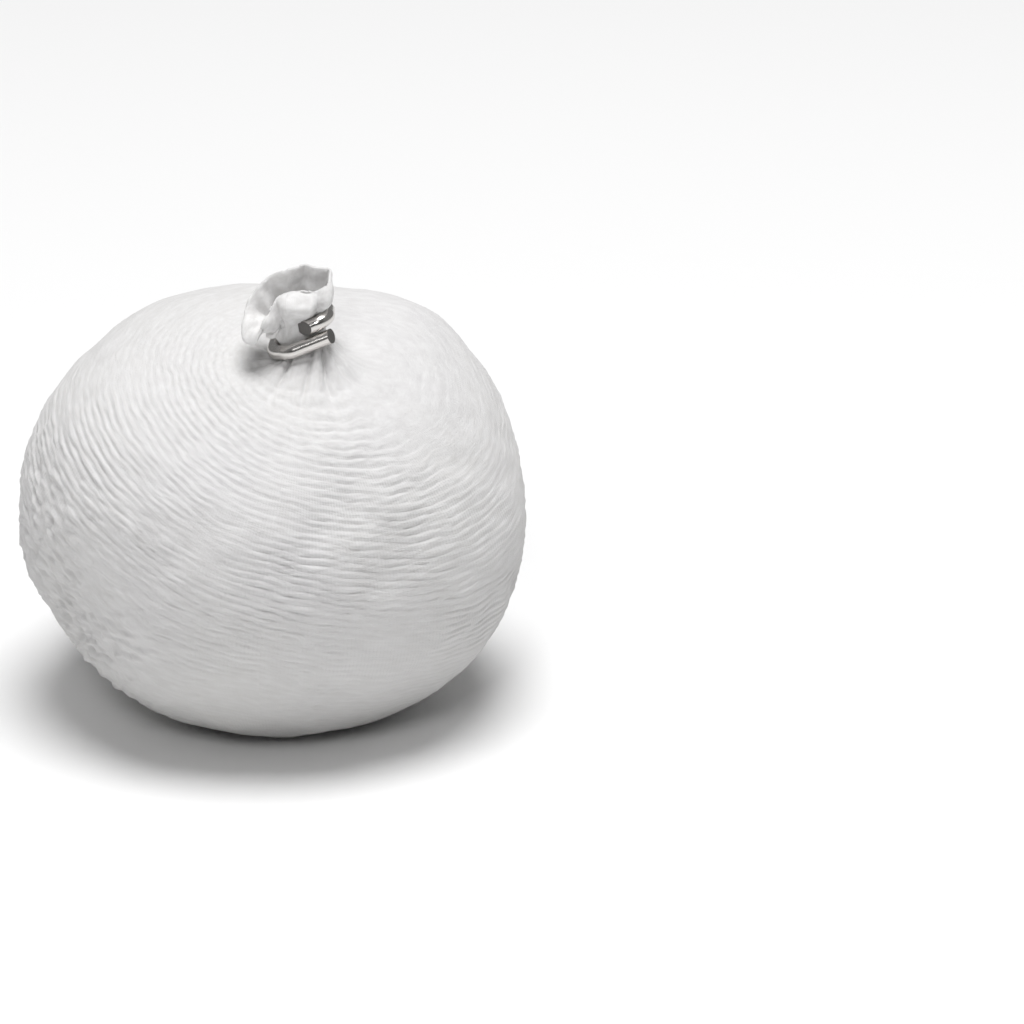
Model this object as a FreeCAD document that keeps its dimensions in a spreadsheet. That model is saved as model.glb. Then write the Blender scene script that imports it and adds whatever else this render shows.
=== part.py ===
"""Chalk ball: a knitted tube full of chalk powder, closed at both ends by a bent wire ring.

Frame: millimetres, +Z up, the origin at the centre of the flat patch that the ball rests on.
The neck with its ring and tuft is near the top, set towards the front, which is -Y. The other
end of the tube is gathered in the same way, but turned inside, so that it leaves only a pucker
in the middle of the underside.
"""

import FreeCAD
import Part

import math
import os

import Sketcher
from FreeCAD import Placement, Rotation, Vector

# alias, millimetres or degrees, meaning
DIMENSIONS = [
    ("ball_radius", 35.0, "half of the ball's width, along X"),
    ("ball_depth", 34.5, "half of the ball's depth, along Y"),
    ("ball_rise", 30.6, "half of the ball's height before its underside is flattened"),
    ("centre_height", 27.6, "height of the ball's centre over the flat patch"),
    ("cloth", 0.8, "thickness of the knitted wall"),
    ("powder_gap", 0.15, "gap between the powder and the wall"),
    ("neck_right", 5.1, "neck, to the right of the ball's middle"),
    ("neck_front", 14.0, "neck, in front of the ball's middle"),
    ("neck_height", 59.3, "height of the middle of the neck ring"),
    ("neck_lean", 22.0, "lean of the neck to the left"),
    ("toe_height", 4.6, "height of the middle of the toe ring"),
    ("wire", 2.0, "diameter of the ring wire"),
    ("ring_half_width", 4.2, "half of a ring's width, to the wire's centre line"),
    ("ring_half_depth", 2.85, "half of a ring's depth, to the wire's centre line"),
    ("arm_rise", 1.1, "distance of each overlapping arm from the ring's middle plane"),
    ("bend_radius", 1.7, "bend radius of the wire's centre line"),
    ("upper_snip", 45.0, "slant of the cut at the end of the upper arm"),
    ("lower_snip", 20.0, "slant of the cut at the end of the lower arm"),
    ("dimple_radius", 2.5, "mouth radius of the pucker in the underside"),
    ("dimple_tip", 0.5, "radius at the bottom of the pucker"),
    ("dimple_depth", 1.9, "depth of the pucker"),
    ("toe_well_radius", 7.3, "radius of the space in the powder round the toe gather"),
    ("toe_well_height", 14.2, "height of the space in the powder round the toe gather"),
    ("neck_well_radius", 6.2, "radius of the space in the powder round the neck's root"),
    ("neck_well_depth", 10.0, "reach of that space below the middle of the neck ring"),
]

# Cross sections of the two gathers: name, level along the gather from the middle of its ring,
# width, depth, shift to the right.
GATHERS = {
    "neck": [
        ("root", -8.5, 9.2, 7.2, 0.0),
        ("waist_low", -2.4, 5.9, 3.2, 0.0),
        ("waist_high", 2.4, 5.9, 3.2, 0.0),
        ("flare", 5.2, 12.0, 8.6, 0.4),
        ("rim", 7.4, 10.4, 8.0, 0.9),
    ],
    "toe": [
        ("root", -4.2, 12.0, 10.0, 0.0),
        ("waist_low", -2.4, 5.9, 3.2, 0.0),
        ("waist_high", 2.4, 5.9, 3.2, 0.0),
        ("flare", 6.0, 10.0, 8.0, 0.0),
        ("rim", 9.0, 11.0, 9.0, 0.0),
    ],
}


def add_dimensions(doc):
    """The spreadsheet that drives every size."""
    rows = list(DIMENSIONS)
    for gather, sections in GATHERS.items():
        for name, level, width, depth, shift in sections:
            rows.append((f"{gather}_{name}_level", level, f"{gather} {name}: level"))
            rows.append((f"{gather}_{name}_width", width, f"{gather} {name}: width"))
            rows.append((f"{gather}_{name}_depth", depth, f"{gather} {name}: depth"))
            rows.append((f"{gather}_{name}_shift", shift, f"{gather} {name}: shift"))
    sheet = doc.addObject("Spreadsheet::Sheet", "dims")
    for row, (alias, value, meaning) in enumerate(rows, start=1):
        sheet.set(f"A{row}", meaning)
        sheet.set(f"B{row}", str(value))
        sheet.setAlias(f"B{row}", alias)
    doc.recompute()
    return sheet


def add_body(doc, name):
    body = doc.addObject("PartDesign::Body", name)
    body.Label = name
    return body


def origin_plane(body, role):
    return next(item for item in body.Origin.OriginFeatures if item.Role == role)


def attach(feature, support):
    feature.AttachmentSupport = [(support, "")]
    feature.MapMode = "FlatFace"


def bind(feature, expressions):
    for path, expression in expressions.items():
        feature.setExpression(path, expression)


def add_ball(body, kind, name, inset, flattened=True):
    """An ellipsoid smaller than the ball's outside by inset all round, with its underside cut off."""
    ball = body.newObject(kind, name)
    attach(ball, origin_plane(body, "XY_Plane"))
    rise = f"(dims.ball_rise - {inset})"
    bind(
        ball,
        {
            "Radius1": rise,
            "Radius2": f"dims.ball_radius - {inset}",
            "Radius3": f"dims.ball_depth - {inset}",
            "AttachmentOffset.Base.z": "dims.centre_height",
        },
    )
    if flattened:
        underside = f"-asin((dims.centre_height - {inset}) / {rise})"
        bind(ball, {"Angle1": underside})
    return ball


def add_outside(body):
    """The whole ball, with a plane cut across its underside for the flat patch it rests on."""
    add_ball(body, "PartDesign::AdditiveEllipsoid", "outside", "0", flattened=False)
    flat = body.newObject("PartDesign::SubtractiveBox", "flat_patch")
    attach(flat, origin_plane(body, "XY_Plane"))
    bind(
        flat,
        {
            "Length": "2 * dims.ball_radius",
            "Width": "2 * dims.ball_depth",
            "Height": "dims.ball_rise",
            "AttachmentOffset.Base.x": "-dims.ball_radius",
            "AttachmentOffset.Base.y": "-dims.ball_depth",
            "AttachmentOffset.Base.z": "-dims.ball_rise",
        },
    )


def add_ring_plane(body, gather):
    """The middle plane of a gather's ring, square to the gather's axis."""
    plane = body.newObject("PartDesign::Plane", f"{gather}_plane")
    attach(plane, origin_plane(body, "XY_Plane"))
    if gather == "neck":
        plane.AttachmentOffset = Placement(Vector(), Rotation(Vector(0, -1, 0), 1))
        bind(
            plane,
            {
                "AttachmentOffset.Base.x": "dims.neck_right",
                "AttachmentOffset.Base.y": "-dims.neck_front",
                "AttachmentOffset.Base.z": "dims.neck_height",
                "AttachmentOffset.Rotation.Angle": "dims.neck_lean",
            },
        )
    else:
        bind(plane, {"AttachmentOffset.Base.z": "dims.toe_height"})
    return plane


def add_section(body, plane, name):
    """A sketched ellipse across a gather, sized and placed by the cells that start with name."""
    sketch = body.newObject("Sketcher::SketchObject", f"{name}_sketch")
    attach(sketch, plane)
    ellipse = sketch.addGeometry(Part.Ellipse(Vector(0, 0, 0), 3, 2), False)
    sketch.exposeInternalGeometry(ellipse)
    width_line = ellipse + 1
    depth_line = ellipse + 2
    sketch.addConstraint(Sketcher.Constraint("Coincident", ellipse, 3, -1, 1))
    sketch.addConstraint(Sketcher.Constraint("Horizontal", width_line))
    width = sketch.addConstraint(Sketcher.Constraint("Distance", width_line, 6))
    depth = sketch.addConstraint(Sketcher.Constraint("Distance", depth_line, 4))
    sketch.renameConstraint(width, "width")
    sketch.renameConstraint(depth, "depth")
    bind(
        sketch,
        {
            "Constraints.width": f"dims.{name}_width",
            "Constraints.depth": f"dims.{name}_depth",
            "AttachmentOffset.Base.x": f"dims.{name}_shift",
            "AttachmentOffset.Base.z": f"dims.{name}_level",
        },
    )
    return sketch


def add_gather(body, gather):
    """The cloth drawn together inside a ring, with the loose end that flares beyond it."""
    plane = add_ring_plane(body, gather)
    sections = [
        add_section(body, plane, f"{gather}_{name}") for name, *_ in GATHERS[gather]
    ]
    loft = body.newObject("PartDesign::AdditiveLoft", f"{gather}_gather")
    loft.Profile = sections[0]
    loft.Sections = sections[1:]
    loft.Ruled = True
    return loft


def add_cylinder(body, name, plane, radius, height, start):
    """A round space cut out of the body, from start upwards along the plane's normal."""
    space = body.newObject("PartDesign::SubtractiveCylinder", name)
    attach(space, plane)
    bind(space, {"Radius": radius, "Height": height, "AttachmentOffset.Base.z": start})
    return space


def add_knit_sock(doc):
    """The knitted tube: a closed wall, the neck with its tuft, and the toe gathered inside."""
    body = add_body(doc, "knit_sock")
    add_outside(body)
    add_ball(body, "PartDesign::SubtractiveEllipsoid", "cavity", "dims.cloth")
    add_gather(body, "neck")
    add_gather(body, "toe")
    dimple = body.newObject("PartDesign::SubtractiveCone", "dimple")
    attach(dimple, origin_plane(body, "XY_Plane"))
    bind(
        dimple,
        {
            "Radius1": "dims.dimple_radius",
            "Radius2": "dims.dimple_tip",
            "Height": "dims.dimple_depth",
        },
    )
    return body


def add_chalk_fill(doc):
    """The powder, which fills the sock except round the two gathers."""
    body = add_body(doc, "chalk_fill")
    inset = "(dims.cloth + dims.powder_gap)"
    add_ball(body, "PartDesign::AdditiveEllipsoid", "powder", inset)
    add_cylinder(
        body,
        "toe_well",
        origin_plane(body, "XY_Plane"),
        "dims.toe_well_radius",
        "dims.toe_well_height",
        "0",
    )
    add_cylinder(
        body,
        "neck_well",
        add_ring_plane(body, "neck"),
        "dims.neck_well_radius",
        "2 * dims.neck_well_depth",
        "-dims.neck_well_depth",
    )
    return body


def rounded_path(points, radius):
    """Straight runs from point to point, joined by tangent arcs of the given radius."""
    edges = []
    start = points[0]
    for before, corner, after in zip(points, points[1:], points[2:]):
        into = (corner - before).normalize()
        out = (after - corner).normalize()
        half_turn = into.getAngle(out) / 2
        trim = radius * math.tan(half_turn)
        arc_start = corner - into * trim
        arc_end = corner + out * trim
        inward = (out - into).normalize()
        arc_middle = corner + inward * (radius / math.cos(half_turn) - radius)
        edges.append(Part.LineSegment(start, arc_start).toShape())
        edges.append(Part.Arc(arc_start, arc_middle, arc_end).toShape())
        start = arc_end
    edges.append(Part.LineSegment(start, points[-1]).toShape())
    return Part.Wire(edges)


def snipped(rod, end, outward, side, slant, wire):
    """The rod with its end cut on a slant that faces outward and to one side."""
    turn = math.radians(slant)
    normal = outward * math.cos(turn) + side * math.sin(turn)
    up = outward.cross(side)
    across = up.cross(normal)
    reach = 2 * wire
    # Barely taller than the wire, so that the other arm isn't cut.
    height = 1.08 * wire
    waste = Part.makeBox(reach, height, reach, Vector(-reach / 2, -height / 2, 0))
    cut_point = end - outward * (wire / 2 * math.tan(turn))
    waste.Placement = Placement(cut_point, Rotation(across, up, normal, "ZYX"))
    return rod.cut(waste)


def ring_shape(sheet):
    """One length of wire bent once round an oval, with both ends overlapping at its front.

    The upper arm ends near the middle of the front, the lower arm at the right.
    """
    wide = sheet.ring_half_width
    deep = sheet.ring_half_depth
    rise = sheet.arm_rise
    route = [
        Vector(0.01 * wide, -1.10 * deep, 1.30 * rise),
        Vector(0.42 * wide, -1.04 * deep, 1.03 * rise),
        Vector(1.03 * wide, -0.98 * deep, 1.12 * rise),
        Vector(1.00 * wide, 0.95 * deep, 0.90 * rise),
        Vector(-0.80 * wide, 1.05 * deep, -0.20 * rise),
        Vector(-1.05 * wide, -0.45 * deep, -0.80 * rise),
        Vector(-0.50 * wide, -1.16 * deep, -rise),
        Vector(1.04 * wide, -1.05 * deep, -rise),
    ]
    path = rounded_path(route, sheet.bend_radius)
    section = Part.Circle(route[0], route[1] - route[0], sheet.wire / 2)
    rod = path.makePipeShell([Part.Wire(section.toShape())], True, False)
    expected = math.pi * (sheet.wire / 2) ** 2 * path.Length
    slack = 0.01 * expected
    if abs(rod.Volume - expected) > slack:
        raise RuntimeError(f"the wire's volume is {rod.Volume:.1f}, not {expected:.1f}")
    front = Vector(0, -1, 0)
    upper_end = (route[0] - route[1]).normalize()
    lower_end = (route[-1] - route[-2]).normalize()
    rod = snipped(rod, route[0], upper_end, front, sheet.upper_snip, sheet.wire)
    return snipped(rod, route[-1], lower_end, front, sheet.lower_snip, sheet.wire)


def add_ring(doc, name, shape, placement):
    ring = doc.addObject("Part::Feature", name)
    ring.Label = name
    ring.Shape = shape
    ring.Placement = placement
    return ring


def add_rings(doc, sheet):
    """The two rings are the same piece of hardware."""
    shape = ring_shape(sheet)
    neck = Vector(sheet.neck_right, -sheet.neck_front, sheet.neck_height)
    lean = Rotation(Vector(0, -1, 0), sheet.neck_lean)
    toe = Vector(0, 0, sheet.toe_height)
    return [
        add_ring(doc, "neck_ring", shape, Placement(neck, lean)),
        add_ring(doc, "toe_ring", shape, Placement(toe, Rotation())),
    ]


def check(doc, pieces):
    """Stop before anything is written if a feature failed or a piece isn't one sound solid."""
    for item in doc.Objects:
        if "Invalid" in item.State or "Error" in item.State:
            raise RuntimeError(f"{item.Name} failed: {item.State}")
    for piece in pieces:
        shape = piece.Shape
        if shape.isNull() or not shape.isValid() or len(shape.Solids) != 1:
            raise RuntimeError(f"{piece.Label} isn't one valid solid")
        box = shape.optimalBoundingBox()
        print(
            f"{piece.Label}: {shape.Volume:.1f} mm3, "
            f"x {box.XMin:.2f}..{box.XMax:.2f}, "
            f"y {box.YMin:.2f}..{box.YMax:.2f}, "
            f"z {box.ZMin:.2f}..{box.ZMax:.2f}"
        )


def main():
    doc = FreeCAD.newDocument("chalk_ball")
    sheet = add_dimensions(doc)
    pieces = [add_knit_sock(doc), add_chalk_fill(doc)] + add_rings(doc, sheet)
    doc.recompute()
    check(doc, pieces)
    os.makedirs("parts", exist_ok=True)
    for piece in pieces:
        piece.Shape.exportStep(f"parts/{piece.Label}.step")


main()
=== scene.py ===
"""The looks of a chalk ball: a knitted sock full of powder, closed by a bent wire ring.

Shapes are worked out in millimetres in the row frame and turned into metres as meshes are made.
Angles round the neck start at the front, which is -Y, and grow to the right, which is +X.
"""

import math

import bpy
import numpy as np
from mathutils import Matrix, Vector


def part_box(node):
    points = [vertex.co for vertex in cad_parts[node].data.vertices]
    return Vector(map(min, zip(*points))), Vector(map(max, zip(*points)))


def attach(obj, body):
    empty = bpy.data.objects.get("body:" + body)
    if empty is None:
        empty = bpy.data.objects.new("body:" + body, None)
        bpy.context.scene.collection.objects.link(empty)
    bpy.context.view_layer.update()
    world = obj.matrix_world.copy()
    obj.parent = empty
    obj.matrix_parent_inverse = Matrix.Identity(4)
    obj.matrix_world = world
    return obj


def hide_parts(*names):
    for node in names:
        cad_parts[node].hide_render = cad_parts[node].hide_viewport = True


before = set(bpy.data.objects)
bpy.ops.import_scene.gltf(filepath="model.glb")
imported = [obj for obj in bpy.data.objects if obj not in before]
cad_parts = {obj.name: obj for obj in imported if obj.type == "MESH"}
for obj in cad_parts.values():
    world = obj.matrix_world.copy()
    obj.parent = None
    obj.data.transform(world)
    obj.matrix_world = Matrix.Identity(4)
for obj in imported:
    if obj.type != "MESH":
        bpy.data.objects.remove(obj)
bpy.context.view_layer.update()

MM = 0.001

# ---------------------------------------------------------------- sizes read from the frame


def box_mm(node):
    """The low and high corners of a CAD node's box."""
    low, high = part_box(node)
    return np.array(low) / MM, np.array(high) / MM


fill_low, fill_high = box_mm("chalk_fill")
ring_low, ring_high = box_mm("neck_ring")
toe_low, toe_high = box_mm("toe_ring")
ring_centre = (ring_low + ring_high) / 2
toe_centre = (toe_low + toe_high) / 2
ball_top = fill_high[2] + fill_low[2]

# ---------------------------------------------------------------- sizes of the looks, in mm

# The ball: half sizes, its middle, how boxy its upper and lower halves are, and how softly it
# turns into the flat patch that it rests on.
BALL_RISE = 30.6
BALL_HALF = np.array([34.6, 34.0, BALL_RISE])
BALL_CENTRE = np.array([0.0, 0.0, ball_top - BALL_RISE])
BOXINESS = 2.2
BOXINESS_BELOW = 2.03
SETTLE_SOFTNESS = 1.4
SETTLE_DROP = 0.12

# The neck: its lean to the left, where it grows from, how far its tube of cloth reaches above and
# below the ring's middle, half sizes of the cloth in each ring, and the power that fills the
# corners of these ovals. The toe's cloth ends TOE_DROP below the middle of its ring.
NECK_LEAN = math.radians(22)
NECK_AXIS = np.array([-math.sin(NECK_LEAN), 0.0, math.cos(NECK_LEAN)])
NECK_RIGHT = np.array([math.cos(NECK_LEAN), 0.0, math.sin(NECK_LEAN)])
FRONT = np.array([0.0, -1.0, 0.0])
NECK_ROOT = np.array([ring_centre[0] - 0.6, ring_centre[1]])
TUBE_ABOVE = 0.5
TUBE_BELOW = 1.5
WAIST = np.array([3.2, 2.0])
TOE_WAIST = np.array([3.1, 1.9])
CORNER_POWER = 0.6
TOE_DROP = 1.2

# Handles of the curves between the rings and the ball: the funnel's drop and flare below the
# throat and its reach back from the ball, then the pucker's reach and its drop below the toe ring.
FUNNEL_DROP = 2.4
FUNNEL_FLARE = 0.25
FUNNEL_REACH = 3.8
PUCKER_REACH = 3.2
PUCKER_DROP = 3.0

# The cloth: its thickness, the pitch of courses, wales and stitches, the courses' slant, and the
# height of a full course.
CLOTH = 0.8
COURSE = 1.38
WALE = 0.54
STITCH = 0.46
SLANT = 0.35
RIDGE = 0.32

# The wall's grid: columns, pitch of its rows above and near the toe, and rows in its ends.
COLUMNS = 206
STEP = 0.225
STEP_BELOW = 0.4
NECK_ROWS = 8
FUNNEL_ROWS = 38
PUCKER_ROWS = 26

# The inside keeps one row in four down past the funnel, one in 14 below, one in five at the toe.
FUNNEL_END = 48
KEEP_FUNNEL, KEEP_BALL, KEEP_PUCKER = 4, 14, 5

# The powder: its distance from the middle of the cloth, and the room it leaves at each gather,
# with the radius of this room and the width of its sloping edge.
POWDER_GAP = 1.1
NECK_ROOM, NECK_ROOM_RADIUS, NECK_ROOM_EDGE = 8.0, 5, 6
TOE_ROOM, TOE_ROOM_RADIUS, TOE_ROOM_EDGE = 14.2, 6.5, 2
POWDER_COLUMNS = 260
POWDER_ROWS = 200

# Millimetres from the ring between which the stitches appear, and a place past both.
FADE_FROM, FADE_TO, PAST_FADE = 5.0, 15.0, 20.0

# Swellings of the ball: direction, height, spread in degrees.
LUMPS = [
    ((0.72, 0.30, 0.62), 1.5, 24),
    ((0.55, 0.32, 0.78), 1.0, 14),
    ((-0.52, 0.32, 0.79), 0.3, 18),
    ((0.0, -0.62, -0.78), -0.7, 20),
    ((0.85, -0.30, -0.15), 0.9, 26),
    ((-0.80, -0.30, -0.55), -1.0, 22),
    ((0.62, -0.25, -0.62), 1.2, 18),
    ((-0.20, 0.85, 0.30), 0.8, 26),
    ((0.10, -0.95, -0.20), 0.4, 18),
    ((-0.90, 0.30, 0.10), -0.5, 20),
    ((0.50, 0.80, -0.30), -0.7, 22),
]

# Grooves below the front of the ring: angle, depth, reach and width.
FRONT_GROOVES = [
    (-74, 0.9, 11, 1.2),
    (-48, 0.35, 9, 0.6),
    (-22, 1.3, 9.5, 0.44),
    (8, 1.5, 11, 0.48),
    (37, 2.0, 13, 0.90),
]

# The gathers below the ring: how far along the cloth they begin, then, for the seeded grooves
# round the back, the degrees kept from the listed ones at both sides, and the ranges of
# the degrees between two, of their depth, reach and width.
GATHER_START = 2.2
BACK_AFTER, BACK_BEFORE = 26, 14
GROOVE_GAPS = (17, 27)
GROOVE_DEPTHS = (0.6, 1.2)
GROOVE_REACHES = (7, 12)
GROOVE_WIDTHS = (0.5, 0.9)

# Layers of noise: strength, size of the features in mm, and seed. The ball's layer is sized on a
# sphere of radius 1. Strengths are in mm, before any factor where the noise is used.
BALL_NOISE = [(0.35, 0.9, 11)]
COURSE_WANDER = [(0.55, 26, 21), (0.20, 7, 22)]
CRUMPLES = [(1.0, 2.2, 25), (1.0, 1.5, 26)]
WALL_LUMPS = [(0.10, 5.5, 31), (0.16, 13, 32)]
POWDER_GRAINS = [(0.14, 3.0, 71), (0.08, 1.6, 72)]

# Directions where the knit shows its courses most and least, is crumpled, or curls into a whorl,
# and where small patches of it are bald.
RIBBED = [(-0.35, -0.72, 0.42), (-0.05, -0.95, 0.25), (0.25, -0.9, 0.2), (0.1, 0.8, 0.3)]
SMOOTH = [(0.62, -0.2, 0.72), (-0.45, 0.1, 0.85), (0.75, 0.35, 0.4)]
CREPE = [(-0.88, -0.42, 0.05), (-0.75, -0.55, -0.35), (0.9, 0.4, -0.2)]
WHORL = (-0.72, -0.62, -0.32)
BALD = [(-0.10, -0.97, 0.20), (0.38, -0.90, -0.25), (-0.55, -0.80, -0.12), (0.2, 0.9, -0.1)]


def smooth(x):
    """A soft step from 0 at x = 0 to 1 at x = 1."""
    x = np.clip(x, 0.0, 1.0)
    return x * x * (3 - 2 * x)


def unit(vectors):
    """The vectors at length 1."""
    return vectors / np.linalg.norm(vectors, axis=-1, keepdims=True)


def waves(points, size, seed, count=20):
    """Smooth noise over points, mostly from -1 to 1, with features about size across."""
    r = np.random.default_rng(seed)
    pull = unit(r.normal(size=(count, 3))) * (2 * math.pi / size)
    pull = pull * r.uniform(0.6, 1.4, (count, 1))
    phase = r.uniform(0, 2 * math.pi, count)
    return np.sin(points @ pull.T + phase).sum(axis=-1) * 0.6 / math.sqrt(count / 2)


def noise(points, layers):
    """The layers of waves over points, added up."""
    return sum(strength * waves(points, size, seed) for strength, size, seed in layers)


def ball_surface(theta, phi):
    """Points of the full, settled ball at polar angle theta from the neck and phi round it."""
    sine = np.sin(theta)
    straight = np.stack(
        [sine * np.sin(phi), -sine * np.cos(phi), np.cos(theta) + 0 * phi], axis=-1
    )
    # The circles round the neck turn level on their way down to the toe.
    towards = NECK_ROOT / BALL_HALF[:2]
    tilt = math.asin(np.linalg.norm(towards)) * (1 - smooth(theta / math.pi))
    axis = np.array([-towards[1], towards[0], 0.0]) / np.linalg.norm(towards)
    cosine = np.cos(tilt)[..., None]
    turned = (
        straight * cosine
        + np.cross(axis, straight) * np.sin(tilt)[..., None]
        + axis * (straight @ axis)[..., None] * (1 - cosine)
    )
    flat = np.hypot(turned[..., 0], turned[..., 1])
    power = np.where(turned[..., 2] > 0, BOXINESS, BOXINESS_BELOW)
    swell = (flat**power + np.abs(turned[..., 2]) ** power) ** (-1 / power)
    height = np.zeros(turned.shape[:-1])
    for direction, rise, spread in LUMPS:
        facing = turned @ unit(np.array(direction))
        height += rise * np.exp((facing - 1) / (1 - math.cos(math.radians(spread))))
    height += noise(turned, BALL_NOISE)
    points = BALL_CENTRE + turned * swell[..., None] * BALL_HALF
    points = points + unit(turned / BALL_HALF) * height[..., None]
    # It settles on a flat patch.
    z = points[..., 2]
    settled = 0.5 * (z + np.sqrt(z**2 + SETTLE_SOFTNESS)) - SETTLE_DROP
    points[..., 2] = np.maximum(settled, 0.0)
    return points


def bezier(a, b, c, d, t):
    """Rows of points at each t along the curves from a to d with handles b and c."""
    t = t[:, None, None]
    return (
        a * (1 - t) ** 3 + 3 * b * t * (1 - t) ** 2 + 3 * c * t**2 * (1 - t) + d * t**3
    )


def oval(centre, right, back, half, phi):
    """Points round an oval with full corners, from the front to the right."""
    sine, cosine = np.sin(phi), np.cos(phi)
    across = half[0] * np.sign(sine) * np.abs(sine) ** CORNER_POWER
    deep = half[1] * np.sign(cosine) * np.abs(cosine) ** CORNER_POWER
    return centre + right * across[:, None] - back * deep[:, None]


def sock_rows():
    """The middle of the cloth in rows from ring to toe, each row's distance, and the angles."""
    phi = np.arange(COLUMNS) * 2 * math.pi / COLUMNS
    back = -FRONT
    top = oval(ring_centre + TUBE_ABOVE * NECK_AXIS, NECK_RIGHT, back, WAIST, phi)
    throat = oval(ring_centre - TUBE_BELOW * NECK_AXIS, NECK_RIGHT, back, WAIST, phi)
    shoulder, lower, toe_start = 0.30, math.radians(142), math.pi - 0.20
    upper_count = int((lower - shoulder) * BALL_HALF[1] / STEP)
    lower_count = int((toe_start - lower) * BALL_HALF[1] / STEP_BELOW)
    above = np.linspace(shoulder, lower, upper_count, endpoint=False)
    theta = np.concatenate([above, np.linspace(lower, toe_start, lower_count)])
    ball = ball_surface(theta[:, None], phi[None, :])
    leaving = unit(ball[1] - ball[0])
    funnel = bezier(
        throat,
        throat - [0, 0, FUNNEL_DROP] + FUNNEL_FLARE * (throat - throat.mean(axis=0)),
        ball[0] - FUNNEL_REACH * leaving,
        ball[0],
        np.linspace(0, 1, FUNNEL_ROWS)[1:-1],
    )
    arriving = unit(ball[-1] - ball[-2])
    level = np.array([1.0, 0.0, 0.0])
    toe = oval(toe_centre - [0, 0, TOE_DROP], level, back, TOE_WAIST, phi)
    pucker_steps = np.linspace(0, 1, PUCKER_ROWS)[1:]
    pucker = bezier(
        ball[-1],
        ball[-1] + PUCKER_REACH * arriving,
        toe - [0, 0, PUCKER_DROP],
        toe,
        pucker_steps,
    )
    neck = bezier(top, top, throat, throat, np.linspace(0, 1, NECK_ROWS))
    rows = np.concatenate([neck, funnel, ball, pucker])
    steps = np.linalg.norm(np.diff(rows, axis=0), axis=-1).mean(axis=1)
    length = np.concatenate([[0.0], np.cumsum(steps)])
    return rows, length, phi


def normals_of(rows):
    """Outward directions at the points of a grid that closes on itself sideways."""
    along = np.gradient(rows, axis=0)
    around = np.roll(rows, -1, axis=1) - np.roll(rows, 1, axis=1)
    return unit(np.cross(around, along) * -1)


def pleats(rows, length, phi):
    """How far each point sinks into the gathers that run out from the ring, or swells between."""
    r = np.random.default_rng(5)
    radius = np.linalg.norm(rows - rows.mean(axis=1, keepdims=True), axis=-1)
    down = (length - GATHER_START)[:, None]
    # Seeded grooves go on from the last listed one, round the back to the first.
    grooves = list(FRONT_GROOVES)
    angle = FRONT_GROOVES[-1][0] + BACK_AFTER
    while angle < FRONT_GROOVES[0][0] + 360 - BACK_BEFORE:
        depth = r.uniform(*GROOVE_DEPTHS)
        reach = r.uniform(*GROOVE_REACHES)
        grooves.append((angle, depth, reach, r.uniform(*GROOVE_WIDTHS)))
        angle += r.uniform(*GROOVE_GAPS)
    shift = np.zeros_like(radius)
    # Each wanders aside and widens on its way down, and fades out at its reach.
    for groove_angle, depth, reach, width in grooves:
        wander = math.radians(r.uniform(-7, 7)) * (down / reach) ** 2
        apart = phi[None, :] - math.radians(groove_angle) - wander
        apart = (apart + math.pi) % (2 * math.pi) - math.pi
        arc = np.abs(apart) * radius
        wide = width * (0.5 + 0.5 * smooth(down / (0.6 * reach)))
        fade = smooth((down + 1.2) / 2.4) * (1 - smooth(down / reach)) ** 0.8
        shift -= depth * fade * np.exp(-np.sqrt((arc / wide) ** 2 + 0.04))
    swell = 0.75 * smooth((down + 0.5) / 3) * (1 - smooth(down / 10))
    return shift + swell


def near(directions, rows, spread):
    """1 where the ball faces a direction, falling off smoothly over spread degrees."""
    facing = unit(rows - BALL_CENTRE)
    best = np.max(np.stack([facing @ unit(np.array(d)) for d in directions]), axis=0)
    return np.exp((best - 1) / (1 - math.cos(math.radians(spread))))


def streaks(rows, length, along, across, seed):
    """Noise in streaks that run round the cloth: their size along the courses and across them."""
    turn = np.arange(rows.shape[1]) * 2 * math.pi / rows.shape[1]
    reach = BALL_HALF[1] / along
    flat = np.empty(rows.shape)
    flat[..., 0] = np.cos(turn) * reach
    flat[..., 1] = np.sin(turn) * reach
    flat[..., 2] = length[:, None] / across
    return waves(flat, 1.0, seed, 30)


def course_place(rows, length):
    """How far along the cloth each point lies, with the twist and the wandering of the knit."""
    wander = noise(rows, COURSE_WANDER) + 0.16 * streaks(rows, length, 7, 2.4, 27)
    twist = -SLANT * rows[..., 0] * smooth(length / 14)[:, None]
    whorl = 8.0 * near([WHORL], rows, 12)
    return length[:, None] + wander + twist + whorl


def courses(rows, length, place):
    """The raised rows of the knit, which run round the ball and break up here and there."""
    part = (place / COURSE) % 1.0
    ridge = np.sin(math.pi * part**0.75) ** 0.6
    strong = near(RIBBED, rows, 30)
    plain = near(SMOOTH, rows, 24)
    strength = 0.46 + 0.32 * waves(rows, 17, 23) + 0.8 * strong - 0.6 * plain
    strength = strength - 0.6 * near(BALD, rows, 11)
    strength = np.clip(strength, 0.06, 1.1)
    broken = smooth(0.72 + 0.65 * streaks(rows, length, 6, 1.6, 24))
    crumpled = 0.22 * near(CREPE, rows, 28) + 0.16 * near([WHORL], rows, 12)
    crepe = crumpled * noise(rows, CRUMPLES)
    fine = 0.035 * streaks(rows, length, 3.2, 0.8, 28)
    return strength * (RIDGE * (ridge - 0.65) * (0.3 + 0.7 * broken) + fine) + crepe


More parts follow.
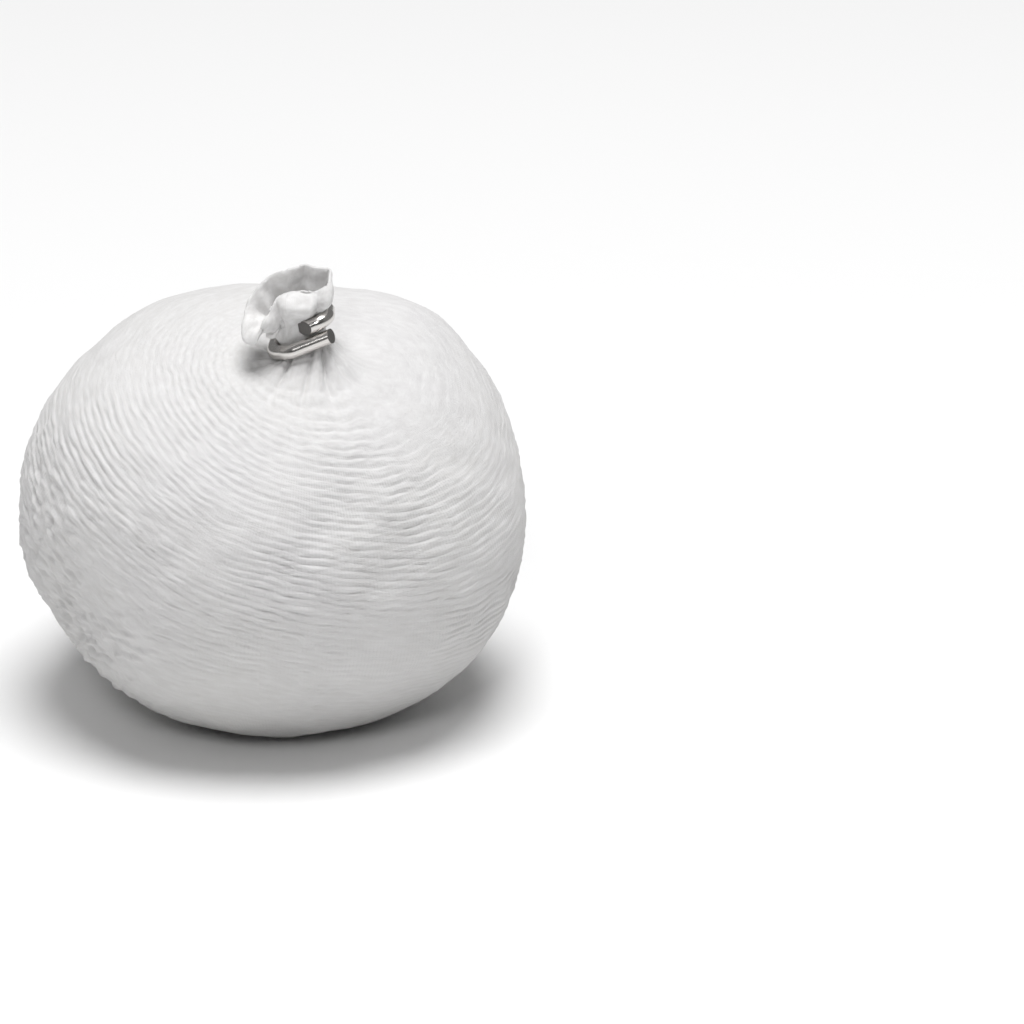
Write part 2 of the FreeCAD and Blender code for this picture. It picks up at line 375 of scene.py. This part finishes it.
def sock_surface():
    """(outside points, inside points, place along the cloth of each)."""
    rows, length, phi = sock_rows()
    normals = normals_of(rows)
    # Courses and lumps fade out towards both ends of the tube.
    ends = smooth(length / 3)[:, None] * smooth((length[-1] - length) / 6)[:, None]
    place = course_place(rows, length)
    uneven = courses(rows, length, place) + noise(rows, WALL_LUMPS)
    relief = pleats(rows, length, phi) + ends * uneven
    outside = rows + normals * relief[..., None]
    outside[..., 2] = np.maximum(outside[..., 2], 0.0)
    count = len(rows)
    toe = count - PUCKER_ROWS
    picks = np.r_[0:FUNNEL_END:KEEP_FUNNEL, FUNNEL_END:toe:KEEP_BALL, toe:count:KEEP_PUCKER]
    inside = (rows - normals * CLOTH)[picks]
    # The gathered cloth nearly closes the tube at its upper end.
    inside[0] = rows[0].mean(axis=0) + (rows[0] - rows[0].mean(axis=0)) * 0.2
    return outside, inside, place, place[picks]


def powder_piece():
    """The settled heap of powder, just inside the cloth, with room for both gathers."""
    columns, count = POWDER_COLUMNS, POWDER_ROWS
    phi = np.arange(columns) * 2 * math.pi / columns
    theta = np.linspace(0, math.pi, count + 2)[1:-1]
    rows = ball_surface(theta[:, None], phi[None, :])
    grains = noise(rows, POWDER_GRAINS)
    rows = rows - normals_of(rows) * (POWDER_GAP + 0.6 * grains)[..., None]
    from_neck = np.linalg.norm(rows[..., :2] - ring_centre[:2], axis=-1)
    upper = rows[..., 2] > BALL_CENTRE[2]
    dip = NECK_ROOM * (1 - smooth((from_neck - NECK_ROOM_RADIUS) / NECK_ROOM_EDGE))
    rows[..., 2] -= np.where(upper, dip, 0)
    from_toe = np.linalg.norm(rows[..., :2] - toe_centre[:2], axis=-1)
    room = TOE_ROOM * (1 - smooth((from_toe - TOE_ROOM_RADIUS) / TOE_ROOM_EDGE))
    raised = np.maximum(rows[..., 2], room) + 0.3 * grains
    rows[..., 2] = np.where(upper, rows[..., 2], raised)
    first, last = rows[0].mean(axis=0), rows[-1].mean(axis=0)
    points = np.concatenate([rows.reshape(-1, 3), [first, last]])
    faces = quads(count, columns).tolist()
    top, bottom = len(points) - 2, len(points) - 1
    last_row = (count - 1) * columns
    for j in range(columns):
        k = (j + 1) % columns
        faces.append([k, j, top])
        faces.append([last_row + j, last_row + k, bottom])
    return new_piece("powder_heap", points, faces)


# ---------------------------------------------------------------- the tuft

# Folds of the tuft, in mm from the middle of the neck ring, from the front to the
# right and round. Each is a curve up from the waist: its two handles and its place on the rim.
TUFT_FOLDS = [
    ((-1.0, -2.1, 2.6), (-2.2, -7.3, 4.8), (-1.5, -1.5, 6.0)),
    ((0.8, -2.2, 2.8), (1.8, -7.0, 4.7), (1.0, -1.4, 5.8)),
    ((1.7, -1.7, 3.2), (2.7, -3.3, 4.5), (2.1, -1.4, 6.1)),
    ((2.8, -1.6, 3.2), (4.6, -3.2, 4.9), (3.7, -1.6, 7.2)),
    ((3.1, -0.2, 3.0), (4.4, 0.0, 5.5), (3.9, 0.1, 8.2)),
    ((2.9, 1.4, 3.0), (4.0, 1.9, 5.6), (3.6, 1.2, 8.4)),
    ((1.9, 1.4, 3.0), (2.3, 1.7, 5.4), (2.1, 1.3, 8.7)),
    ((0.6, 2.2, 2.8), (0.4, 2.9, 5.6), (0.3, 1.8, 8.6)),
    ((-0.9, 1.4, 2.5), (-1.6, 1.8, 5.0), (-1.7, 1.6, 8.2)),
    ((-2.6, 2.2, 2.2), (-4.2, 2.8, 4.6), (-4.1, 2.3, 7.0)),
    ((-3.4, 1.0, 1.8), (-5.2, 1.3, 3.9), (-5.9, 1.7, 5.5)),
    ((-4.4, 1.2, 1.3), (-6.8, 1.4, 3.2), (-7.4, 0.9, 3.2)),
    ((-3.9, -0.4, 1.2), (-6.7, -0.8, 2.6), (-7.7, -1.2, 1.4)),
    ((-3.9, -1.2, 1.1), (-6.9, -2.3, 2.0), (-7.7, -2.9, -0.3)),
    ((-3.5, -2.0, 1.3), (-5.6, -4.0, 2.2), (-6.0, -4.7, -0.1)),
    ((-2.9, -2.4, 1.8), (-4.6, -4.7, 3.2), (-4.7, -4.2, 2.6)),
    ((-1.9, -1.9, 2.2), (-3.4, -3.4, 4.2), (-3.2, -2.2, 5.2)),
]
TUFT_COLUMNS = 340
TUFT_ROWS = 56
STEM_ROWS = 6
TUFT_CLOTH = 0.5
GATHERED_WALES = 190


def round_spline(values, count):
    """A smooth closed curve through the values, with count points and the first one kept."""
    n = len(values)
    at = np.arange(count) * n / count
    i = at.astype(int)
    t = (at - i)[:, None]
    a, b, c, d = (values[(i + k) % n] for k in (-1, 0, 1, 2))
    return b + 0.5 * t * (
        c - a + t * (2 * a - 5 * b + 4 * c - d + t * (3 * (b - c) + d - a))
    )


def tuft_surface(shrink=1.0, turn=0.0, seed=41):
    """The middle of a loose end's cloth, from inside the ring up to its ragged rim.

    shrink makes it smaller, and turn is its turn about the vertical in radians.
    """
    folds = np.array(TUFT_FOLDS)
    low, high, rim = (folds[:, k] for k in range(3))
    scale = np.array([shrink, shrink, shrink**0.9])
    c, s = math.cos(turn), math.sin(turn)
    spin = np.array([[c, -s, 0], [s, c, 0], [0, 0, 1]])
    low, high, rim = (
        round_spline((curve * scale) @ spin.T, TUFT_COLUMNS) for curve in (low, high, rim)
    )
    phi = np.arange(TUFT_COLUMNS) * 2 * math.pi / TUFT_COLUMNS
    r = np.random.default_rng(seed)
    ragged = sum(
        r.uniform(0.3, 1.0) / k**0.5 * np.sin(k * phi + r.uniform(0, 2 * math.pi))
        for k in range(9, 60, 4)
    )
    rim = rim + 0.10 * ragged[:, None] * unit(rim - high)
    # The stem is taller at the right, where the ring rides higher.
    level = 0.1 + 1.9 * smooth(0.5 + 0.9 * np.cos(phi - math.radians(75)))
    waist = oval(np.zeros(3), NECK_RIGHT, -FRONT, WAIST * 0.98 * shrink, phi)
    waist = waist + level[:, None] * NECK_AXIS
    foot = oval(-0.8 * NECK_AXIS, NECK_RIGHT, -FRONT, WAIST * 0.9 * shrink, phi)
    stem = bezier(foot, foot, waist, waist, np.linspace(0, 1, STEM_ROWS))
    steps = np.linspace(0, 1, TUFT_ROWS - STEM_ROWS + 1)[1:]
    sheet = bezier(waist, low, high, rim, steps)
    rows = np.concatenate([stem, sheet])
    rise = np.linspace(0, 1, len(rows))[:, None]
    wrinkle = 0.20 * waves(rows, 3.0, seed + 1) + 0.03 * waves(rows, 1.4, seed + 2)
    rows = rows + normals_of(rows) * (wrinkle * smooth(3 * rise - 0.3))[..., None]
    return rows + ring_centre


def cloth_sheet(name, rows, thick):
    """A closed sheet of cloth round its middle surface, which thins towards its rim."""
    normals = normals_of(rows)
    steps = np.linalg.norm(np.diff(rows, axis=0), axis=-1).mean(axis=1)
    length = np.concatenate([[0.0], np.cumsum(steps)])
    thin = thick * (1 - 0.45 * smooth((length - length[-1] + 0.5) / 0.5))[:, None, None]
    outside = rows + normals * thin / 2
    inside = rows - normals * thin / 2
    place = np.repeat(length[:, None], rows.shape[1], axis=1)
    return shell_piece(name, outside, inside, place, place, GATHERED_WALES)


# ---------------------------------------------------------------- mesh making


def quads(rows, columns, first=0):
    """Faces between the rows of a grid that closes on itself sideways."""
    i, j = np.meshgrid(np.arange(rows - 1), np.arange(columns), indexing="ij")
    k = (j + 1) % columns
    corners = [i * columns + j, i * columns + k, (i + 1) * columns + k, (i + 1) * columns + j]
    return np.stack(corners, axis=-1).reshape(-1, 4) + first


def strip(row_a, row_b, columns):
    """Faces that join two rows of the same number of points."""
    j = np.arange(columns)
    k = (j + 1) % columns
    return np.stack([row_a + j, row_a + k, row_b + k, row_b + j], axis=-1)


def new_piece(name, points, faces, uv=None):
    """A mesh object from millimetre points, riding on the ball's only body."""
    mesh = bpy.data.meshes.new(name)
    mesh.from_pydata((points * MM).tolist(), [], faces)
    mesh.polygons.foreach_set("use_smooth", [True] * len(mesh.polygons))
    if uv is not None:
        layer = mesh.uv_layers.new(name="cloth")
        layer.data.foreach_set("uv", uv.astype(np.float32).ravel())
    mesh.update()
    piece = bpy.data.objects.new(name, mesh)
    bpy.context.scene.collection.objects.link(piece)
    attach(piece, "root")
    return piece


def shell_piece(name, outside, inside, place, inner_place, wales):
    """A closed wall between two grids. The UV map holds wales round it and mm along it."""
    out_rows, columns = outside.shape[:2]
    in_rows = len(inside)
    first = out_rows * columns
    faces = [
        quads(out_rows, columns),
        quads(in_rows, columns, first)[:, ::-1],
        strip(first, 0, columns),
        strip((out_rows - 1) * columns, first + (in_rows - 1) * columns, columns),
    ]
    points = np.concatenate([outside.reshape(-1, 3), inside.reshape(-1, 3)])
    along = np.concatenate([place.ravel(), inner_place.ravel()])
    turns = np.tile(np.arange(columns) / columns, out_rows + in_rows)
    faces = np.concatenate(faces)
    u = turns[faces]
    u = np.where(u < u.max(axis=1, keepdims=True) - 0.5, u + 1, u)
    uv = np.stack([u * wales, along[faces]], axis=-1)
    return new_piece(name, points, faces.tolist(), uv)


# ---------------------------------------------------------------- materials


def new_material(name):
    material = bpy.data.materials.new(name)
    material.use_nodes = True
    tree = material.node_tree
    return material, tree, tree.nodes["Principled BSDF"]


def node(tree, kind, inputs=None, **settings):
    made = tree.nodes.new(kind)
    for key, value in settings.items():
        setattr(made, key, value)
    for key, value in (inputs or {}).items():
        if isinstance(value, bpy.types.NodeSocket):
            tree.links.new(value, made.inputs[key])
        else:
            made.inputs[key].default_value = value
    return made


def math_node(tree, operation, a, b=0.0):
    return node(tree, "ShaderNodeMath", {0: a, 1: b}, operation=operation).outputs[0]


def rounded_wave(tree, value):
    """A wave from 0 to 1 that touches 0 at each whole value."""
    turned = math_node(tree, "MULTIPLY", value, math.pi)
    return math_node(tree, "ABSOLUTE", math_node(tree, "SINE", turned))


def stitches(tree, wale, mm):
    """Heights of V-shaped stitches, one wale wide, which fade out where mm nears the ring."""
    across = rounded_wave(tree, wale)
    slope = math_node(tree, "MULTIPLY", across, 0.45)
    level = math_node(tree, "ADD", math_node(tree, "DIVIDE", mm, STITCH), slope)
    loops = math_node(tree, "ADD", rounded_wave(tree, level), 0.6)
    both = math_node(tree, "MULTIPLY", math_node(tree, "POWER", across, 0.6), loops)
    fade = node(
        tree, "ShaderNodeMapRange", {"Value": mm, "From Min": FADE_FROM, "From Max": FADE_TO}
    )
    return math_node(tree, "MULTIPLY", both, fade.outputs["Result"])


def knit_material(name, gathered):
    """White jersey: fine stitches, streaks along the courses, fuzz and dust, and painted shade on
    its lower part.

    gathered is for the loose ends, where the stitches show everywhere and the knit is painted
    lighter.
    """
    material, tree, shader = new_material(name)
    place = node(tree, "ShaderNodeTexCoord").outputs["Object"]
    cloth = node(tree, "ShaderNodeUVMap", uv_map="cloth").outputs["UV"]
    axes = node(tree, "ShaderNodeSeparateXYZ", {"Vector": cloth})
    wale, mm = axes.outputs["X"], axes.outputs["Y"]
    if gathered:
        mm = math_node(tree, "ADD", mm, PAST_FADE)
    stitch = stitches(tree, wale, mm)
    stretched = node(
        tree, "ShaderNodeVectorMath", {0: cloth, 1: (0.16, 1.1, 1.0)}, operation="MULTIPLY"
    )
    streak_noise = node(
        tree, "ShaderNodeTexNoise", {"Vector": stretched.outputs[0], "Scale": 1.0, "Detail": 4}
    ).outputs["Fac"]
    fuzz = node(
        tree, "ShaderNodeTexNoise", {"Vector": place, "Scale": 3200, "Detail": 4}
    ).outputs["Fac"]
    height = math_node(tree, "MULTIPLY", stitch, 0.2)
    streak_height = 0.4 if gathered else 1.5
    streak = math_node(tree, "MULTIPLY", streak_noise, streak_height)
    height = math_node(tree, "ADD", height, streak)
    height = math_node(tree, "ADD", height, math_node(tree, "MULTIPLY", fuzz, 0.55))
    bump = node(tree, "ShaderNodeBump", {"Height": height, "Strength": 0.6, "Distance": 0.00012})
    tree.links.new(bump.outputs["Normal"], shader.inputs["Normal"])
    dust = node(tree, "ShaderNodeTexNoise", {"Vector": place, "Scale": 45, "Detail": 5})
    warmth = node(tree, "ShaderNodeMix", {"Factor": dust.outputs["Fac"]}, data_type="RGBA")
    warmth.inputs["A"].default_value = (0.665, 0.657, 0.635, 1)
    warmth.inputs["B"].default_value = (0.655, 0.645, 0.662, 1)
    chalk = node(
        tree, "ShaderNodeMapRange", {"Value": streak_noise, "From Min": 0.35, "From Max": 0.75}
    )
    tint = node(
        tree,
        "ShaderNodeMix",
        {"Factor": chalk.outputs["Result"], "A": warmth.outputs["Result"]},
        data_type="RGBA",
    )
    # Painted light: the loose ends use a lighter copy of the same knit, which brightens their
    # shaded folds.
    white = 0.8 if gathered else 0.73
    tint.inputs["B"].default_value = (white, 0.993 * white, 0.993 * white, 1)
    # Painted shade: the lower part is mixed towards grey, darker towards the bottom where the ball
    # is put down.
    up = node(tree, "ShaderNodeSeparateXYZ", {"Vector": place}).outputs["Z"]
    low = node(tree, "ShaderNodeMapRange", {"Value": up, "From Min": 0.004, "From Max": 0.030})
    low.inputs["To Min"].default_value = 0.5
    low.inputs["To Max"].default_value = 0.0
    underside_shade = node(
        tree,
        "ShaderNodeMix",
        {"Factor": low.outputs["Result"], "A": tint.outputs["Result"]},
        data_type="RGBA",
    )
    underside_shade.inputs["B"].default_value = (0.44, 0.435, 0.42, 1)
    tree.links.new(underside_shade.outputs["Result"], shader.inputs["Base Color"])
    shader.inputs["Roughness"].default_value = 0.95
    shader.inputs["Specular IOR Level"].default_value = 0.2
    shader.inputs["Sheen Weight"].default_value = 0.12
    shader.inputs["Sheen Roughness"].default_value = 0.6
    if gathered:
        # Light passes into a single thickness of knit, where nothing lies behind it.
        shader.inputs["Subsurface Weight"].default_value = 0.25
        shader.inputs["Subsurface Radius"].default_value = (1.0, 1.0, 1.0)
        shader.inputs["Subsurface Scale"].default_value = 0.0012
    return material


def cut_ends(ring):
    """(normal, centre) of the two flat faces where the wire was snipped."""
    found = {}
    for face in ring.data.polygons:
        key = tuple(round(part, 2) for part in face.normal)
        area, centre = found.get(key, (0.0, Vector()))
        found[key] = (area + face.area, centre + face.center * face.area)
    largest = sorted(found.items(), key=lambda item: item[1][0])[-2:]
    return [(Vector(key).normalized(), centre / area) for key, (area, centre) in largest]


def snipped_mask(tree, place, ring):
    """1 on the two snipped faces of a ring, and 0 on the rest of it."""
    mask = None
    for normal, centre in cut_ends(ring):
        apart = node(tree, "ShaderNodeVectorMath", {0: place, 1: centre}, operation="DISTANCE")
        depth = node(tree, "ShaderNodeVectorMath", {0: place, 1: normal}, operation="DOT_PRODUCT")
        close = math_node(tree, "LESS_THAN", apart.outputs["Value"], 1.4 * MM)
        skin = centre.dot(normal) - 0.03 * MM
        level = math_node(tree, "GREATER_THAN", depth.outputs["Value"], skin)
        both = math_node(tree, "MULTIPLY", close, level)
        mask = both if mask is None else math_node(tree, "MAXIMUM", mask, both)
    return mask


def steel_material(ring):
    """Bright drawn wire, with rough faces where it was snipped, painted dark as shade."""
    material, tree, shader = new_material(ring.name + "_steel")
    place = node(tree, "ShaderNodeTexCoord").outputs["Object"]
    grime = node(tree, "ShaderNodeTexNoise", {"Vector": place, "Scale": 900, "Detail": 5})
    rough = node(
        tree,
        "ShaderNodeMapRange",
        {"Value": grime.outputs["Fac"], "To Min": 0.13, "To Max": 0.3},
    ).outputs["Result"]
    cut = snipped_mask(tree, place, ring)
    burr = node(tree, "ShaderNodeTexNoise", {"Vector": place, "Scale": 4000, "Detail": 3})
    burr_height = math_node(tree, "MULTIPLY", burr.outputs["Fac"], cut)
    bump = node(
        tree, "ShaderNodeBump", {"Height": burr_height, "Strength": 0.6, "Distance": 0.0001}
    )
    tree.links.new(bump.outputs["Normal"], shader.inputs["Normal"])
    # The snipped faces are rough, and their dark colour is painted shade.
    wire_and_shaded_cut = node(tree, "ShaderNodeMix", {"Factor": cut}, data_type="RGBA")
    wire_and_shaded_cut.inputs["A"].default_value = (0.66, 0.64, 0.62, 1)
    wire_and_shaded_cut.inputs["B"].default_value = (0.16, 0.155, 0.15, 1)
    tree.links.new(wire_and_shaded_cut.outputs["Result"], shader.inputs["Base Color"])
    rough = math_node(tree, "MAXIMUM", rough, math_node(tree, "MULTIPLY", cut, 0.5))
    tree.links.new(rough, shader.inputs["Roughness"])
    shader.inputs["Metallic"].default_value = 1.0
    return material


def powder_material():
    """Dry white chalk with fine grains."""
    material, tree, shader = new_material("chalk_powder")
    place = node(tree, "ShaderNodeTexCoord").outputs["Object"]
    grains = node(tree, "ShaderNodeTexNoise", {"Vector": place, "Scale": 3000, "Detail": 4})
    bump = node(
        tree,
        "ShaderNodeBump",
        {"Height": grains.outputs["Fac"], "Strength": 0.4, "Distance": 0.0002},
    )
    tree.links.new(bump.outputs["Normal"], shader.inputs["Normal"])
    shader.inputs["Base Color"].default_value = (0.9, 0.9, 0.89, 1)
    shader.inputs["Roughness"].default_value = 1.0
    return material


# ---------------------------------------------------------------- camera and light


def aim(thing, target):
    thing.rotation_mode = "QUATERNION"
    thing.rotation_quaternion = (target - thing.location).to_track_quat("-Z", "Y")


def add_camera():
    """A long lens 22 degrees above the horizon, with the ball left of the middle."""
    data = bpy.data.cameras.new("camera")
    data.lens = 200
    camera = bpy.data.objects.new("camera", data)
    elevation = math.radians(22)
    distance = 0.786
    back = Vector((0, -math.cos(elevation), math.sin(elevation)))
    target = Vector((33.3, 0, BALL_CENTRE[2])) * MM
    camera.location = target + back * distance
    aim(camera, target)
    data.clip_start = 0.01
    bpy.context.scene.collection.objects.link(camera)
    bpy.context.scene.camera = camera


def add_area(name, place, target, size, power):
    """A round area light that faces the target, with its size in metres and power in watts."""
    data = bpy.data.lights.new(name, "AREA")
    data.shape = "DISK"
    data.size = size
    data.energy = power
    light = bpy.data.objects.new(name, data)
    light.location = place
    aim(light, Vector(target))
    bpy.context.scene.collection.objects.link(light)


def add_room():
    """A pale room, darker in front, where the bright steel then shows its shape."""
    world = bpy.data.worlds.new("room")
    world.use_nodes = True
    tree = world.node_tree
    towards = node(tree, "ShaderNodeTexCoord").outputs["Generated"]
    front = node(
        tree,
        "ShaderNodeVectorMath",
        {0: towards, 1: (0.0, -0.94, 0.34)},
        operation="DOT_PRODUCT",
    )
    light = node(
        tree,
        "ShaderNodeMapRange",
        {"Value": front.outputs["Value"], "From Min": 0.55, "From Max": 0.95},
        interpolation_type="SMOOTHSTEP",
    )
    light.inputs["To Min"].default_value = 0.22
    light.inputs["To Max"].default_value = 0.03
    tree.links.new(light.outputs["Result"], tree.nodes["Background"].inputs["Strength"])
    tree.nodes["Background"].inputs["Color"].default_value = (1, 1, 1, 1)
    bpy.context.scene.world = world


def add_stage():
    """A pale floor, a soft light overhead, a weak one in front and a pale room."""
    mesh = bpy.data.meshes.new("floor")
    half = 3.0
    corners = [(-half, -half, 0), (half, -half, 0), (half, half, 0), (-half, half, 0)]
    mesh.from_pydata(corners, [], [(0, 1, 2, 3)])
    floor = bpy.data.objects.new("floor", mesh)
    material, tree, shader = new_material("floor")
    shader.inputs["Base Color"].default_value = (0.88, 0.88, 0.88, 1)
    shader.inputs["Roughness"].default_value = 0.8
    mesh.materials.append(material)
    bpy.context.scene.collection.objects.link(floor)
    add_room()
    add_area("overhead", (0.08, -0.15, 1.5), (0, 0, 0.03), 0.9, 23.0)
    add_area("front", (-0.15, -0.95, 0.8), (0, 0, 0.04), 0.3, 2.8)
    bpy.context.scene.view_settings.view_transform = "Standard"


# ---------------------------------------------------------------- the object

add_camera()
add_stage()

knit = knit_material("white_knit", False)
gathered_knit = knit_material("gathered_knit", True)
powder = powder_material()

outside, inside, place, inner_place = sock_surface()
girth = 2 * math.pi * BALL_HALF[1]
wales = round(girth / WALE)
sock = shell_piece("sock_wall", outside, inside, place, inner_place, wales)
sock.data.materials.append(knit)
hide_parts("knit_sock")

heap = powder_piece()
heap.data.materials.append(powder)
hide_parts("chalk_fill")

# The loose ends of the tube: name, surface, and the size each was cut to in metres.
upright = np.stack([NECK_RIGHT, -FRONT, NECK_AXIS]).T
toe_end = (tuft_surface(0.7, 0.6, 61) - ring_centre) @ upright + toe_centre
LOOSE_ENDS = [
    ("tuft", tuft_surface(), "neck_ring", (0.022, 0.010)),
    ("tuft_inner", tuft_surface(0.58, 0.0, 51), "neck_ring", (0.010, 0.010)),
    ("toe_tuft", toe_end, "toe_ring", (0.013, 0.010)),
]
for name, surface, holder, flat in LOOSE_ENDS:
    loose = cloth_sheet(name, surface, TUFT_CLOTH)
    loose.data.materials.append(gathered_knit)
    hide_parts("knit_sock")

for name in ("neck_ring", "toe_ring"):
    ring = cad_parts[name]
    ring.data.materials.clear()
    ring.data.materials.append(steel_material(ring))
